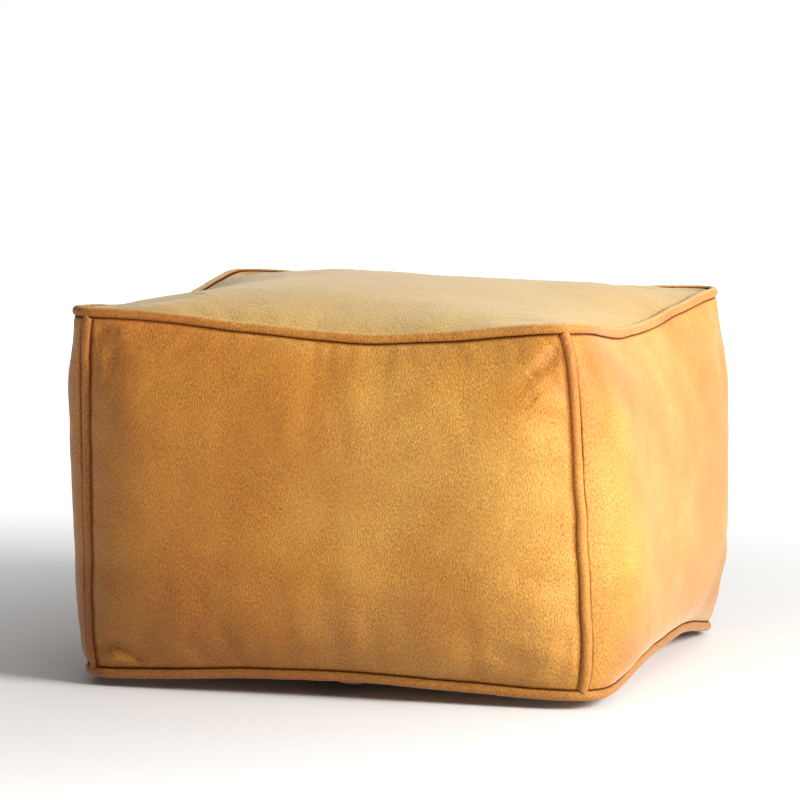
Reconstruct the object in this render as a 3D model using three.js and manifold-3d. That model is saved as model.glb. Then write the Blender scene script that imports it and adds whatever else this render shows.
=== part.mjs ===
// A square leather pouf: seven leather panels sewn edge to edge with a piping cord in every
// seam, a zip across the underside, and a cotton inner bag full of fibre filling.
// Millimetres, +Z up, origin on the floor under the centre. The front faces -Y.
import * as THREE from "three";
import { mergeVertices } from "three/addons/utils/BufferGeometryUtils.js";
import Module from "manifold-3d";

const wasm = await Module();
wasm.setup();

// ---------------------------------------------------------------- driving dimensions
const CORNER = 230; // centre to the vertical seams, along X and along Y
const TOP_CORNER_Z = 335; // the top seam at its corners
const TOP_SAG = 18; // how far the top seam dips between its corners
const CROWN_Z = 356; // the highest point of the top panel
const BOTTOM_CORNER_Z = 8; // the bottom seam at its corners
const BOTTOM_LIFT = 6; // how far the bottom seam rises between its corners
const SHOULDER = 10; // how far the top and bottom seams stand out past their corners
const BELLY = 25; // how far a stuffed side panel stands out past its seams

const LEATHER = 1.5; // panel thickness
const CORD_RADIUS = 3; // piping cord
const STRIP_BORE = 3.5; // inside radius of the leather strip round the cord
const PIPING_RADIUS = 4.8; // outside radius of the piping
const STRIP_SLIT = 0.15; // half the gap between the strip's two layers in the seam
const STRIP_HALF = 1.35; // half the thickness of the two layers in the seam
const ALLOWANCE = 10; // how far the seam allowances reach in past the piping
const SEAM_GAP = 0.5; // between a panel's allowance and the piping's

const BAG_INSET = 17; // from a cover seam to the matching seam of the inner bag
const BAG_CLOTH = 1.2; // inner bag thickness
const BAG_GAP = 0.8; // between the leather and the inner bag
const FILL_GAP = 0.5; // between the inner bag and the filling

const ZIP_Z = 12; // mid-plane of the zip tapes
const ZIP_END_Y = 231; // the tapes end here, inside the front and back seams
const ZIP_EDGE = 8.5; // from the middle to the leather's edge beside the zip
const TAPE = { inner: 2.65, outer: 17, half: 0.4 };
const CHAIN = { inner: 0.15, outer: 3.55, half: 1.5, groove: 0.7, grooveDepth: 1.2 };
const PARTED = 1.6; // how far each tooth row stands aside at the slider's wedge
const PART_RUN = 3; // the rows part over this much either side of the slider's middle
const STOP_LENGTH = 4;
const STOP_GAP = 0.3; // between a tooth row and a stop
const SLIDER_Y = 208; // middle of the slider, zip closed
const CHAIN_END_Y = SLIDER_Y + 8.5; // just past the slider
const BOTTOM_STOP_Y = -193;

// Sample stations along half a seam, shared by panels and piping so that their facets match.
const HALF_STATIONS = [0, 0.35, 0.65, 0.88, 1];
const STATIONS = [...HALF_STATIONS.slice(1).reverse().map((s) => -s), ...HALF_STATIONS];

// ---------------------------------------------------------------- the stuffed shape
const dip = (s) => (1 - s * s) ** 2;
const bow = (s) => SHOULDER * (1 - s ** 24);
const topSeamZ = (s) => TOP_CORNER_Z - TOP_SAG * dip(s);
const bottomSeamZ = (s) => BOTTOM_CORNER_Z + BOTTOM_LIFT * dip(s);
// A pillow's section: steep beside the seam at s = 1, flat across the middle.
const pillow = (s) => Math.sqrt(1 - s ** 4);

// Places in a seam's cross-section: inset runs in along the panel, out along its normal.
const DIAGONAL = Math.SQRT1_2;
const beside = (PIPING_RADIUS + 1) * DIAGONAL; // the panel leaves the piping here
const flange = (reach, off) => ({ inset: (reach + off) * DIAGONAL, out: (off - reach) * DIAGONAL });
const faceOff = STRIP_HALF + SEAM_GAP;
const turnReach = PIPING_RADIUS + 2.2; // the allowance has turned in by here
const fullReach = PIPING_RADIUS + ALLOWANCE;
const LIP = { inset: 1.7, drop: 0.7 }; // the panel's inner face at the turn
const SEAM_FACE = [
  { inset: beside, out: beside },
  flange(turnReach, faceOff),
  flange(fullReach, faceOff),
];
const SEAM_BACK = [
  { inset: beside + LIP.inset, out: beside - LIP.drop },
  flange(turnReach, faceOff + LEATHER),
  flange(fullReach, faceOff + LEATHER),
];

// Each face says where the point at (u, v), from -1 to 1, lies. Only the points on a seam
// move in by inset, and every point moves out by out.
const movedIn = (s, share) => (Math.abs(s) === 1 ? s * (1 - share) : s);
// A side panel stops short of its corners, where the shoulders of the top and bottom seams
// have already begun.
const SHOULDER_STATION = HALF_STATIONS.at(-2);
const SHOULDER_RUN = CORNER * (1 - SHOULDER_STATION);
function sideFace(u, v, inset, out) {
  const low = bottomSeamZ(u);
  const height = topSeamZ(u) - low;
  const up = (movedIn(v, (2 * inset) / height) + 1) / 2;
  const begun = (bow(SHOULDER_STATION) * (inset + out)) / (SHOULDER_RUN + out);
  const y = -CORNER - out - (Math.abs(u) === 1 ? begun : bow(u));
  return new THREE.Vector3(CORNER * movedIn(u, inset / CORNER), y, low + height * up);
}
function inPlan(u, v, z, inset, half = CORNER) {
  const x = half * movedIn(u, inset / half) + bow(v) * u;
  const y = half * movedIn(v, inset / half) + bow(u) * v;
  return new THREE.Vector3(x, y, z);
}
// The dip of the top seams fades towards the middle of the top.
const topBaseZ = (u, v) => TOP_CORNER_Z - TOP_SAG * (dip(u) * v * v + dip(v) * u * u);
const topFace = (u, v, inset, out) => inPlan(u, v, topBaseZ(u, v) + out, inset);
const topRise = CROWN_Z - TOP_CORNER_Z - beside;

// ---------------------------------------------------------------- mesh helpers
function geometryOf(points, triangles) {
  return new THREE.BufferGeometry()
    .setAttribute("position", new THREE.Float32BufferAttribute(points.flatMap((p) => p.toArray()), 3))
    .setIndex(triangles.flat());
}

// A sheet with two faces: every point of the outer face has a partner on the inner one, and
// the border is walled.
function thicken(outer, inner, triangles) {
  const n = outer.length;
  const uses = new Map();
  for (const t of triangles)
    for (let k = 0; k < 3; k++) uses.set(`${t[k]},${t[(k + 1) % 3]}`, [t[k], t[(k + 1) % 3]]);
  const walls = [];
  for (const [a, b] of uses.values())
    if (!uses.has(`${b},${a}`)) walls.push([b, a, a + n], [b, a + n, b + n]);
  const back = triangles.map(([a, b, c]) => [a + n, c + n, b + n]);
  return geometryOf([...outer, ...inner], [...triangles, ...back, ...walls]);
}

const quad = (a, b, c, d) => [[a, b, c], [a, c, d]];

// A leather panel: a crowned grid, and along the sewn edges a turned-in seam allowance.
// chain lists the sewn border as grid indices, in order, closed or open.
function panelGeometry(us, vs, chain, closed, place) {
  const index = (i, j) => i * vs.length + j;
  const triangles = [];
  for (let i = 0; i + 1 < us.length; i++)
    for (let j = 0; j + 1 < vs.length; j++)
      triangles.push(...quad(index(i, j), index(i + 1, j), index(i + 1, j + 1), index(i, j + 1)));
  const sewn = new Set(chain.map(([i, j]) => index(i, j)));
  const outer = [];
  const inner = [];
  us.forEach((u, i) =>
    vs.forEach((v, j) => {
      const ring = sewn.has(index(i, j)) ? 0 : null;
      outer.push(place(u, v, ring, false));
      inner.push(place(u, v, ring, true));
    }),
  );
  let last = chain.map(([i, j]) => index(i, j));
  for (const ring of [1, 2]) {
    const next = chain.map(([i, j]) => {
      outer.push(place(us[i], vs[j], ring, false));
      inner.push(place(us[i], vs[j], ring, true));
      return outer.length - 1;
    });
    const count = closed ? chain.length : chain.length - 1;
    for (let k = 0; k < count; k++) {
      const m = (k + 1) % chain.length;
      triangles.push(...quad(last[m], last[k], next[k], next[m]));
    }
    last = next;
  }
  return thicken(outer, inner, triangles);
}

// The border of an n by m grid, anticlockwise from its first corner.
function borderOf(n, m) {
  const border = [];
  for (let i = 0; i < n - 1; i++) border.push([i, 0]);
  for (let j = 0; j < m - 1; j++) border.push([n - 1, j]);
  for (let i = n - 1; i > 0; i--) border.push([i, m - 1]);
  for (let j = m - 1; j > 0; j--) border.push([0, j]);
  return border;
}

// A tube of any section: rings of equal length, joined end to end or capped. section is the
// ring's flat outline, which the caps are cut from.
function sweep(rings, closed, section) {
  const n = rings[0].length;
  const triangles = [];
  const count = closed ? rings.length : rings.length - 1;
  for (let r = 0; r < count; r++) {
    const next = (r + 1) % rings.length;
    for (let k = 0; k < n; k++) {
      const l = (k + 1) % n;
      triangles.push(...quad(r * n + k, r * n + l, next * n + l, next * n + k));
    }
  }
  if (!closed) {
    const last = (rings.length - 1) * n;
    const clockwise = THREE.ShapeUtils.isClockWise(section);
    for (const [a, p, q] of THREE.ShapeUtils.triangulateShape(section, [])) {
      const [b, c] = clockwise ? [q, p] : [p, q];
      triangles.push([a, c, b], [last + a, last + b, last + c]);
    }
  }
  return geometryOf(rings.flat(), triangles);
}

const solidOf = (geometry) => {
  const merged = mergeVertices(geometry.clone().deleteAttribute("normal").deleteAttribute("uv"), 1e-4);
  return new wasm.Manifold(
    new wasm.Mesh({
      numProp: 3,
      vertProperties: new Float32Array(merged.attributes.position.array),
      triVerts: new Uint32Array(merged.index.array),
    }),
  );
};

function geometryFrom(solid) {
  const { vertProperties, triVerts } = solid.getMesh();
  return new THREE.BufferGeometry()
    .setAttribute("position", new THREE.BufferAttribute(vertProperties, 3))
    .setIndex(new THREE.BufferAttribute(triVerts, 1));
}

const boxSolid = (low, high) => {
  const size = high.map((h, k) => h - low[k]);
  return solidOf(new THREE.BoxGeometry(...size).translate(...low.map((l, k) => l + size[k] / 2)));
};

// A flat outline in X and Y, from height low to high.
const plate = (outline, low, high) =>
  new THREE.ExtrudeGeometry(new THREE.Shape(outline.map(([x, y]) => new THREE.Vector2(x, y))), {
    depth: high - low,
    bevelEnabled: false,
  }).translate(0, 0, low);

// A flat outline in X and Z, from low to high along Y.
const bar = (outline, low, high) =>
  plate(outline.map(([x, z]) => [x, -z]).reverse(), low, high)
    .rotateX(-Math.PI / 2);

// ---------------------------------------------------------------- materials
const material = (color, roughness, metalness = 0) =>
  new THREE.MeshStandardMaterial({ color, roughness, metalness });
const LEATHER_TAN = material(0xbd8236, 0.5);
const PIPING_TAN = material(0xa9702c, 0.5);
const COTTON_CORD = material(0xe6dcc6, 0.9);
const CALICO = material(0xe9dfca, 0.9);
const FIBRE = material(0xf4f2ec, 0.95);
const TAPE_TAN = material(0x8a5f2c, 0.85);
const ANTIQUE_BRASS = material(0x9a7a45, 0.4, 1);

const pouf = new THREE.Group();
function add(name, geometry, finish, quarterTurns = 0) {
  const mesh = new THREE.Mesh(geometry, finish);
  mesh.name = name;
  mesh.rotation.z = (quarterTurns * Math.PI) / 2;
  pouf.add(mesh);
}

// ---------------------------------------------------------------- leather panels
const square = borderOf(STATIONS.length, STATIONS.length);

function crowned(face, rise) {
  return panelGeometry(STATIONS, STATIONS, square, true, (u, v, ring, back) => {
    if (ring !== null) {
      const { inset, out } = (back ? SEAM_BACK : SEAM_FACE)[ring];
      return face(u, v, inset, out);
    }
    const out = beside + rise * pillow(u) * pillow(v) - (back ? LEATHER : 0);
    return face(u, v, beside, out);
  });
}

add("top_panel", crowned(topFace, topRise), LEATHER_TAN);
["front", "right", "back", "left"].forEach((side, k) =>
  add(`${side}_panel`, crowned(sideFace, BELLY), LEATHER_TAN, k),
);

// Half of the underside. It lies flat on the floor and lifts at the seams and into the
// shallow valley along the zip, where its edge is plain.
const REST_SHARE = 0.3; // of the half width: the lift from the floor to a seam takes this much
const VALLEY = { edgeZ: 9.2, middle: 15.5, width: 38 };
const floorFall = (q) => Math.max(0, 1 - q) ** 2;
const floorShare = (s) => 1 - floorFall((1 - Math.abs(s)) / REST_SHARE);

function undersideHeight(u, v) {
  const seam = bottomSeamZ(u) + bottomSeamZ(v) - BOTTOM_CORNER_Z - beside;
  const valley = VALLEY.edgeZ * floorFall((Math.abs(u) * CORNER - ZIP_EDGE) / VALLEY.width);
  const resting = floorShare(u) * floorShare(v);
  return seam * (1 - resting) + valley * floorShare(v);
}

function undersideHalf(side) {
  const valley = [0, VALLEY.middle, VALLEY.width].map((x) => (ZIP_EDGE + x) / CORNER);
  const across = [...valley, ...HALF_STATIONS.slice(1)];
  const us = side > 0 ? across : across.map((u) => -u).reverse();
  // The face looks down, so its grid runs the other way along Y.
  const vs = STATIONS.map((v) => -v);
  const whole = borderOf(us.length, vs.length);
  const zipColumn = side > 0 ? 0 : us.length - 1;
  const isEnd = (j) => j === 0 || j === vs.length - 1;
  const sewn = whole.filter(([i, j]) => i !== zipColumn || isEnd(j));
  // The chain starts at the zip's edge, so that it is open there.
  const start = sewn.findIndex(([i, j], k) => {
    const [a, b] = sewn[(k + sewn.length - 1) % sewn.length];
    return i === zipColumn && isEnd(j) && a === zipColumn && isEnd(b);
  });
  const chain = [...sewn.slice(start), ...sewn.slice(0, start)];
  return panelGeometry(us, vs, chain, false, (u, v, ring, back) => {
    const { inset, out } = (back ? SEAM_BACK : SEAM_FACE)[ring ?? 0];
    if (ring === null) return inPlan(u, v, undersideHeight(u, v) + (back ? LEATHER : 0), inset);
    return inPlan(u, v, bottomSeamZ(u) + bottomSeamZ(v) - BOTTOM_CORNER_Z - out, inset);
  });
}

add("bottom_panel_left", undersideHalf(-1), LEATHER_TAN);
add("bottom_panel_right", undersideHalf(1), LEATHER_TAN);

// ---------------------------------------------------------------- piping
const ARC_POINTS = 8;

// Section of the leather strip folded round its cord. x runs out along the seam's diagonal,
// and the two layers lie together behind the cord, from -PIPING_RADIUS to -reach.
function stripSection(reach) {
  const arc = (radius, half) => {
    const from = Math.asin(half / radius);
    return Array.from({ length: ARC_POINTS }, (_, k) => {
      const angle = from + ((2 * Math.PI - 2 * from) * k) / (ARC_POINTS - 1);
      return new THREE.Vector2(-radius * Math.cos(angle), radius * Math.sin(angle));
    });
  };
  const outside = arc(PIPING_RADIUS, STRIP_HALF);
  const bore = arc(STRIP_BORE, STRIP_SLIT).reverse();
  return [
    ...outside,
    new THREE.Vector2(-reach, -STRIP_HALF),
    new THREE.Vector2(-reach, -STRIP_SLIT),
    ...bore,
    new THREE.Vector2(-reach, STRIP_SLIT),
    new THREE.Vector2(-reach, STRIP_HALF),
  ];
}

const CORD_SIDES = 8;
const cordSection = Array.from({ length: CORD_SIDES }, (_, k) => {
  const angle = (-2 * Math.PI * k) / CORD_SIDES;
  return new THREE.Vector2(CORD_RADIUS * Math.cos(angle), CORD_RADIUS * Math.sin(angle));
});

// The stations of a square loop seam: where each lies, and the way out from it. The two
// agree at a corner, which mitres it.
function loopStations(seamZ) {
  const stations = [];
  for (let side = 0; side < 4; side++) {
    const turn = new THREE.Matrix4().makeRotationZ((side * Math.PI) / 2);
    for (const s of STATIONS.slice(0, -1)) {
      const corner = s === -1;
      stations.push({
        at: new THREE.Vector3(CORNER * s, -CORNER - bow(s), seamZ(s)).applyMatrix4(turn),
        out: new THREE.Vector3(corner ? -1 : 0, -1, 0).applyMatrix4(turn),
      });
    }
  }
  return stations;
}

// up is 1 for the top seam and -1 for the bottom one, whose section is its mirror image.
function loopRings(section, seamZ, up) {
  const outline = up > 0 ? section : [...section].reverse();
  return loopStations(seamZ).map(({ at, out }) =>
    outline.map(({ x, y }) => {
      const away = (x - y) * DIAGONAL;
      return at.clone().addScaledVector(out, away).add(new THREE.Vector3(0, 0, up * (x + y) * DIAGONAL));
    }),
  );
}

const loop = (section, seamZ, up) => sweep(loopRings(section, seamZ, up), true, section);
const fullStrip = stripSection(fullReach);
add("top_piping_cover", loop(fullStrip, topSeamZ, 1), PIPING_TAN);
add("top_piping_cord", loop(cordSection, topSeamZ, 1), COTTON_CORD);
add("bottom_piping_cover", loop(fullStrip, bottomSeamZ, -1), PIPING_TAN);
add("bottom_piping_cord", loop(cordSection, bottomSeamZ, -1), COTTON_CORD);

// An upright piping at the front right corner. Its allowance tapers off at both ends, where
// the top and bottom seams' allowances cross it.
const UPRIGHT_END = 6; // between a corner of the loop seam and the end of the upright piping
const UPRIGHT_TAPER = 12;
const END_ALLOWANCE = 0.4; // what is left of its allowance at its ends
function upright(sectionFor) {
  const low = BOTTOM_CORNER_Z + UPRIGHT_END;
  const high = TOP_CORNER_Z - UPRIGHT_END;
  const heights = [low, low + UPRIGHT_TAPER, (low + high) / 2, high - UPRIGHT_TAPER, high];
  const rings = heights.map((z, k) =>
    sectionFor(k === 0 || k === heights.length - 1).map(({ x, y }) =>
      new THREE.Vector3(CORNER + (x - y) * DIAGONAL, -CORNER - (x + y) * DIAGONAL, z),
    ),
  );
  return sweep(rings, false, sectionFor(false));
}

const stripUpright = upright((end) => stripSection(PIPING_RADIUS + (end ? END_ALLOWANCE : ALLOWANCE)));
const cordUpright = upright(() => cordSection);
["front_right", "back_right", "back_left", "front_left"].forEach((corner, k) => {
  add(`${corner}_piping_cover`, stripUpright, PIPING_TAN, k);
  add(`${corner}_piping_cord`, cordUpright, COTTON_CORD, k);
});

// ---------------------------------------------------------------- inner bag and filling
// A stuffed cushion whose seams lie inset from the cover's and whose faces reach close
// behind the leather. shrink moves every face in by that much.
const BAG_STATIONS = [-1, -0.93, -0.72, -0.3, 0.3, 0.72, 0.93, 1];
function cushion(shrink) {
  const inset = BAG_INSET + shrink;
  const half = CORNER - inset;
  const bulge = (u, v, full) => -inset + (inset + full - shrink) * pillow(u) * pillow(v);
  const behind = beside - LEATHER - BAG_GAP;
  const side = (u, v) => {
    const up = (v + 1) / 2;
    const z = (bottomSeamZ(u) + inset) * (1 - up) + (topSeamZ(u) - inset) * up;
    return new THREE.Vector3(half * u, -CORNER - bow(u) - bulge(u, v, BELLY + behind), z);
  };
  const top = (u, v) => inPlan(u, v, topBaseZ(u, v) + bulge(u, v, topRise + behind), 0, half);
  const restZ = LEATHER + BAG_GAP + shrink;
  const bottom = (u, v) => {
    const seam = bottomSeamZ(u) + bottomSeamZ(v) - BOTTOM_CORNER_Z + inset;
    const resting = pillow(u) * pillow(v);
    return inPlan(u, -v, seam * (1 - resting) + restZ * resting, 0, half);
  };
  const faces = [top, bottom];
  for (let k = 0; k < 4; k++) {
    const turn = new THREE.Matrix4().makeRotationZ((k * Math.PI) / 2);
    faces.push((u, v) => side(u, v).applyMatrix4(turn));
  }
  const points = [];
  const triangles = [];
  const n = BAG_STATIONS.length;
  for (const face of faces) {
    const first = points.length;
    for (const u of BAG_STATIONS) for (const v of BAG_STATIONS) points.push(face(u, v));
    for (let i = 0; i + 1 < n; i++)
      for (let j = 0; j + 1 < n; j++) {
        const at = (a, b) => first + a * n + b;
        triangles.push(...quad(at(i, j), at(i + 1, j), at(i + 1, j + 1), at(i, j + 1)));
      }
  }
  return solidOf(geometryOf(points, triangles));
}

// The valley that the zip and its slider run in, pressed up into the bag and the filling.
const GROOVE = { top: 19, foot: 52, height: ZIP_Z + 4.5 };
const groove = (grow) =>
  solidOf(
    bar(
      [
        [-GROOVE.foot - grow, -1],
        [GROOVE.foot + grow, -1],
        [GROOVE.top + grow, GROOVE.height + grow],
        [-GROOVE.top - grow, GROOVE.height + grow],
      ],
      -CORNER,
      CORNER,
    ),
  );
// The slit that the bag was filled through.
const SLIT = { x: 90, halfWidth: 0.5, halfLength: 140, height: 20 };
const slit = boxSolid(
  [SLIT.x - SLIT.halfWidth, -SLIT.halfLength, 0],
  [SLIT.x + SLIT.halfWidth, SLIT.halfLength, SLIT.height],
);
const bagOutside = cushion(0).subtract(groove(0));
const bagInside = cushion(BAG_CLOTH).subtract(groove(BAG_CLOTH));
add("inner_bag", geometryFrom(bagOutside.subtract(bagInside).subtract(slit)), CALICO);
const fillDepth = BAG_CLOTH + FILL_GAP;
add("filling", geometryFrom(cushion(fillDepth).subtract(groove(fillDepth))), FIBRE);

// ---------------------------------------------------------------- zip
// The tooth rows run side by side, and part over the last stretch for the slider's wedge.
const PART_FROM_Y = SLIDER_Y - PART_RUN;
const PART_TO_Y = SLIDER_Y + PART_RUN;

function tape(side) {
  const outline = [
    [TAPE.inner, -ZIP_END_Y],
    [TAPE.outer, -ZIP_END_Y],
    [TAPE.outer, ZIP_END_Y],
    [TAPE.inner + PARTED, ZIP_END_Y],
    [TAPE.inner + PARTED, PART_TO_Y],
    [TAPE.inner, PART_FROM_Y],
  ];
  const placed = side > 0 ? outline : outline.map(([x, y]) => [-x, y]).reverse();
  return plate(placed, ZIP_Z - TAPE.half, ZIP_Z + TAPE.half);
}

// The section that teeth and stops share, in X and Z: a block with a groove that holds the
// right-hand tape's edge.
const { inner, outer, half: gripHalf, groove: grooveHalf, grooveDepth } = CHAIN;
const grip = [
  [inner, -gripHalf],
  [outer, -gripHalf],
  [outer, -grooveHalf],
  [outer - grooveDepth, -grooveHalf],
  [outer - grooveDepth, grooveHalf],
  [outer, grooveHalf],
  [outer, gripHalf],
  [inner, gripHalf],
];

// One row of teeth as a grooved bar.
function toothRow(side) {
  const places = [
    [BOTTOM_STOP_Y + STOP_GAP, 0],
    [PART_FROM_Y, 0],
    [PART_TO_Y, PARTED],
    [CHAIN_END_Y, PARTED],
  ];
  const outline = grip.map(([x, z]) => new THREE.Vector2(x, z));
  const section = side > 0 ? [...outline].reverse() : outline;
  const rings = places.map(([y, aside]) =>
    section.map(({ x, y: z }) => new THREE.Vector3(side * (x + aside), y, ZIP_Z + z)),
  );
  return sweep(rings, false, section);
}

// A top stop: a clip on the tape's edge past the last tooth.
function topStop(side) {
  const outline = grip.map(([x, z]) => [side * (x + PARTED), z]);
  const from = CHAIN_END_Y + STOP_GAP;
  const placed = side > 0 ? outline : outline.reverse();
  return bar(placed, from, CHAIN_END_Y + STOP_LENGTH).translate(0, 0, ZIP_Z);
}

// The bottom stop: one clip on both tapes, where the slider ends its travel.
function bottomStop() {
  const rightSide = grip.slice(1, -1);
  const leftSide = rightSide.map(([x, z]) => [-x, -z]);
  const outline = [...rightSide, ...leftSide];
  return bar(outline, BOTTOM_STOP_Y - STOP_LENGTH, BOTTOM_STOP_Y).translate(0, 0, ZIP_Z);
}

for (const [word, side] of [["left", -1], ["right", 1]]) {
  add(`zip_tape_${word}`, tape(side), TAPE_TAN);
  add(`zip_teeth_${word}`, toothRow(side), ANTIQUE_BRASS);
  add(`zip_top_stop_${word}`, topStop(side), ANTIQUE_BRASS);
}
add("zip_bottom_stop", bottomStop(), ANTIQUE_BRASS);

// The slider: two plates with turned edges round the tooth rows, joined by the wedge that
// parts the rows, and a bail on the outside for the pull. Built about its own middle.
const SLIDER = {
  half: 8,
  rearWidth: 6.2,
  frontWidth: 6.8,
  flareFrom: -4,
  flareTo: 2.5,
  height: 2.9,
  wall: 1.2,
  cavity: 1.8,
  slot: 0.75,
  past: 1, // how far each cut runs past the block
};
const WEDGE = { tip: 2.2, widest: 5, halfWidth: 1.3, tail: 1 };
const taper = (rear, front, half) => [
  [-rear, -half],
  [rear, -half],
  [rear, SLIDER.flareFrom],
  [front, SLIDER.flareTo],
  [front, half],
  [-front, half],
  [-front, SLIDER.flareTo],
  [-rear, SLIDER.flareFrom],
];
const sliderBlock = solidOf(
  plate(taper(SLIDER.rearWidth, SLIDER.frontWidth, SLIDER.half), -SLIDER.height, SLIDER.height),
);
const cavityOutline = taper(
  SLIDER.rearWidth - SLIDER.wall,
  SLIDER.frontWidth - SLIDER.wall,
  SLIDER.half + SLIDER.past,
);
const cavity = solidOf(plate(cavityOutline, -SLIDER.cavity, SLIDER.cavity));
const slotReach = [SLIDER.frontWidth + SLIDER.past, SLIDER.half + SLIDER.past, SLIDER.slot];
const tapeSlot = boxSolid(slotReach.map((reach) => -reach), slotReach);
const wedgeOutline = [
  [0, WEDGE.tip],
  [WEDGE.halfWidth, WEDGE.widest],
  [WEDGE.tail, SLIDER.half],
  [-WEDGE.tail, SLIDER.half],
  [-WEDGE.halfWidth, WEDGE.widest],
];
const wedge = solidOf(plate(wedgeOutline, -SLIDER.height, SLIDER.height));
const BAIL = { halfWidth: 1.1, rear: -4, front: 5, depth: 5.75, bar: 1.05, leg: 1.5, root: 0.4 };
const bail = boxSolid(
  [-BAIL.halfWidth, BAIL.rear, -BAIL.depth],
  [BAIL.halfWidth, BAIL.front, BAIL.root - SLIDER.height],
);
const bailWindow = boxSolid(
  [-2 * BAIL.halfWidth, BAIL.rear + BAIL.leg, BAIL.bar - BAIL.depth],
  [2 * BAIL.halfWidth, BAIL.front - BAIL.leg, -SLIDER.height],
);
const slider = sliderBlock
  .subtract(cavity)
  .subtract(tapeSlot)
  .add(wedge)
  .add(bail)
  .subtract(bailWindow);
add("zip_slider", geometryFrom(slider).translate(0, SLIDER_Y, ZIP_Z), ANTIQUE_BRASS);

// The pull lies back over the closed zip. Its pin turns in the bail's window.
const PIN = { y: 0.4, z: -3.85, radius: 0.55, halfLength: 3.2 };
const PULL = {
  thickness: 1.1,
  arm: 1.5,
  armWidth: 1.7,
  neck: -6.2,
  shoulder: 3,
  end: -30,
  halfWidth: 4,
  chamfer: 2,
};
const pin = new THREE.CylinderGeometry(PIN.radius, PIN.radius, 2 * PIN.halfLength, 12)
  .rotateZ(Math.PI / 2)
  .translate(0, PIN.y, PIN.z);
const armOuter = PULL.arm + PULL.armWidth;
const tabOutline = new THREE.Shape([
  new THREE.Vector2(-armOuter, PIN.y + PIN.radius),
  new THREE.Vector2(-PULL.arm, PIN.y + PIN.radius),
  new THREE.Vector2(-PULL.arm, PULL.neck),
  new THREE.Vector2(PULL.arm, PULL.neck),
  new THREE.Vector2(PULL.arm, PIN.y + PIN.radius),
  new THREE.Vector2(armOuter, PIN.y + PIN.radius),
  new THREE.Vector2(armOuter, PULL.neck),
  new THREE.Vector2(PULL.halfWidth, PULL.neck - PULL.shoulder),
  new THREE.Vector2(PULL.halfWidth, PULL.end + PULL.chamfer),
  new THREE.Vector2(PULL.halfWidth - PULL.chamfer, PULL.end),
  new THREE.Vector2(PULL.chamfer - PULL.halfWidth, PULL.end),
  new THREE.Vector2(-PULL.halfWidth, PULL.end + PULL.chamfer),
  new THREE.Vector2(-PULL.halfWidth, PULL.neck - PULL.shoulder),
  new THREE.Vector2(-armOuter, PULL.neck),
]);
const tab = new THREE.ExtrudeGeometry(tabOutline, { depth: PULL.thickness, bevelEnabled: false });
tab.translate(0, 0, PIN.z - PULL.thickness / 2);
const pull = solidOf(tab).add(solidOf(pin));
add("zip_pull", geometryFrom(pull).translate(0, SLIDER_Y, ZIP_Z), ANTIQUE_BRASS);

export default pouf;
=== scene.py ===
import math

import bmesh
import bpy
import numpy as np
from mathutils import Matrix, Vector


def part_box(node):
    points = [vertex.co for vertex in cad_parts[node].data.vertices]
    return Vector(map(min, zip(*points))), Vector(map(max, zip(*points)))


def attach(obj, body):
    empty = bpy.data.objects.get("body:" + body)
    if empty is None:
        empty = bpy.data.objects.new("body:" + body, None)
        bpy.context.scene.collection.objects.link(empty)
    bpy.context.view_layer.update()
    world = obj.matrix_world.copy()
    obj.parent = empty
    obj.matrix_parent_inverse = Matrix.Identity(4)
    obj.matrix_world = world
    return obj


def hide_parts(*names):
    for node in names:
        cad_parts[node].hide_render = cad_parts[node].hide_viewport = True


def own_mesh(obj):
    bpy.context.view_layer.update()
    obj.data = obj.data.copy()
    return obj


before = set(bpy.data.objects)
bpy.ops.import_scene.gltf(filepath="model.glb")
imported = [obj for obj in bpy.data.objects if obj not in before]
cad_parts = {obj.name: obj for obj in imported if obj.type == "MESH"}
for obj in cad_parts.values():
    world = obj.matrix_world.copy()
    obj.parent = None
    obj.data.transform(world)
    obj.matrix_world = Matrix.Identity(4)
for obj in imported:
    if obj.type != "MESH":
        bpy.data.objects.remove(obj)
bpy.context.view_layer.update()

MM = 0.001

# ---- sizes, from the frame
cord_low, cord_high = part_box("front_right_piping_cord")
CORNER = (cord_low.x + cord_high.x) / 2
CORD_R = (cord_high.x - cord_low.x) / 2
TOP_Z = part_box("top_piping_cord")[1].z - CORD_R
BOTTOM_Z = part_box("bottom_piping_cord")[0].z + CORD_R
CROWN_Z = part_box("top_panel")[1].z - 5 * MM  # the filling has settled a little
ZIP_Z = (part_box("zip_tape_left")[0].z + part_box("zip_tape_left")[1].z) / 2
ZIP_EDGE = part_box("bottom_panel_right")[0].x

PIPING_R = 4.8 * MM
STRIP_BORE = 3.5 * MM
LEATHER = 1.5 * MM
SHOULDER = 10 * MM  # how far a seam stands out past its corners

SIDES = ("front", "right", "back", "left")
OUTWARD = np.array([(0, -1, 0), (1, 0, 0), (0, 1, 0), (-1, 0, 0)], float)
UP = np.array((0.0, 0.0, 1.0))
# Corners go round from the front left: side k runs from corner k to the next one.
CORNER_SIGNS = ((-1, -1), (1, -1), (1, 1), (-1, 1))

# How the stuffed corners have settled away from their drafted places, in mm.
SETTLED = {
    "top": ((-2, 0, -2), (-12, -3, -8), (6, 1, -3), (-12, -2, 6)),
    "bottom": ((9, 2, 4), (7, 2, 4.5), (0, 0, -1), (0, 0, 0)),
}
# How each seam runs between its corners: its sag in mm, where the sag is deepest, how narrow
# the dip is, and how far its middle is drawn in.
SEAMS = {
    "top": ((15, 0.16, 2.3, 13), (17, -0.13, 1.7, 12), (17, -0.05, 2.6, 12), (14, 0.0, 2, 12)),
    "bottom": ((-8, 0.0, 2.5, -3), (-15, 0.22, 1.5, 2), (-6, 0.0, 1.5, 0), (-12, -0.1, 1.5, -9)),
}
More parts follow.
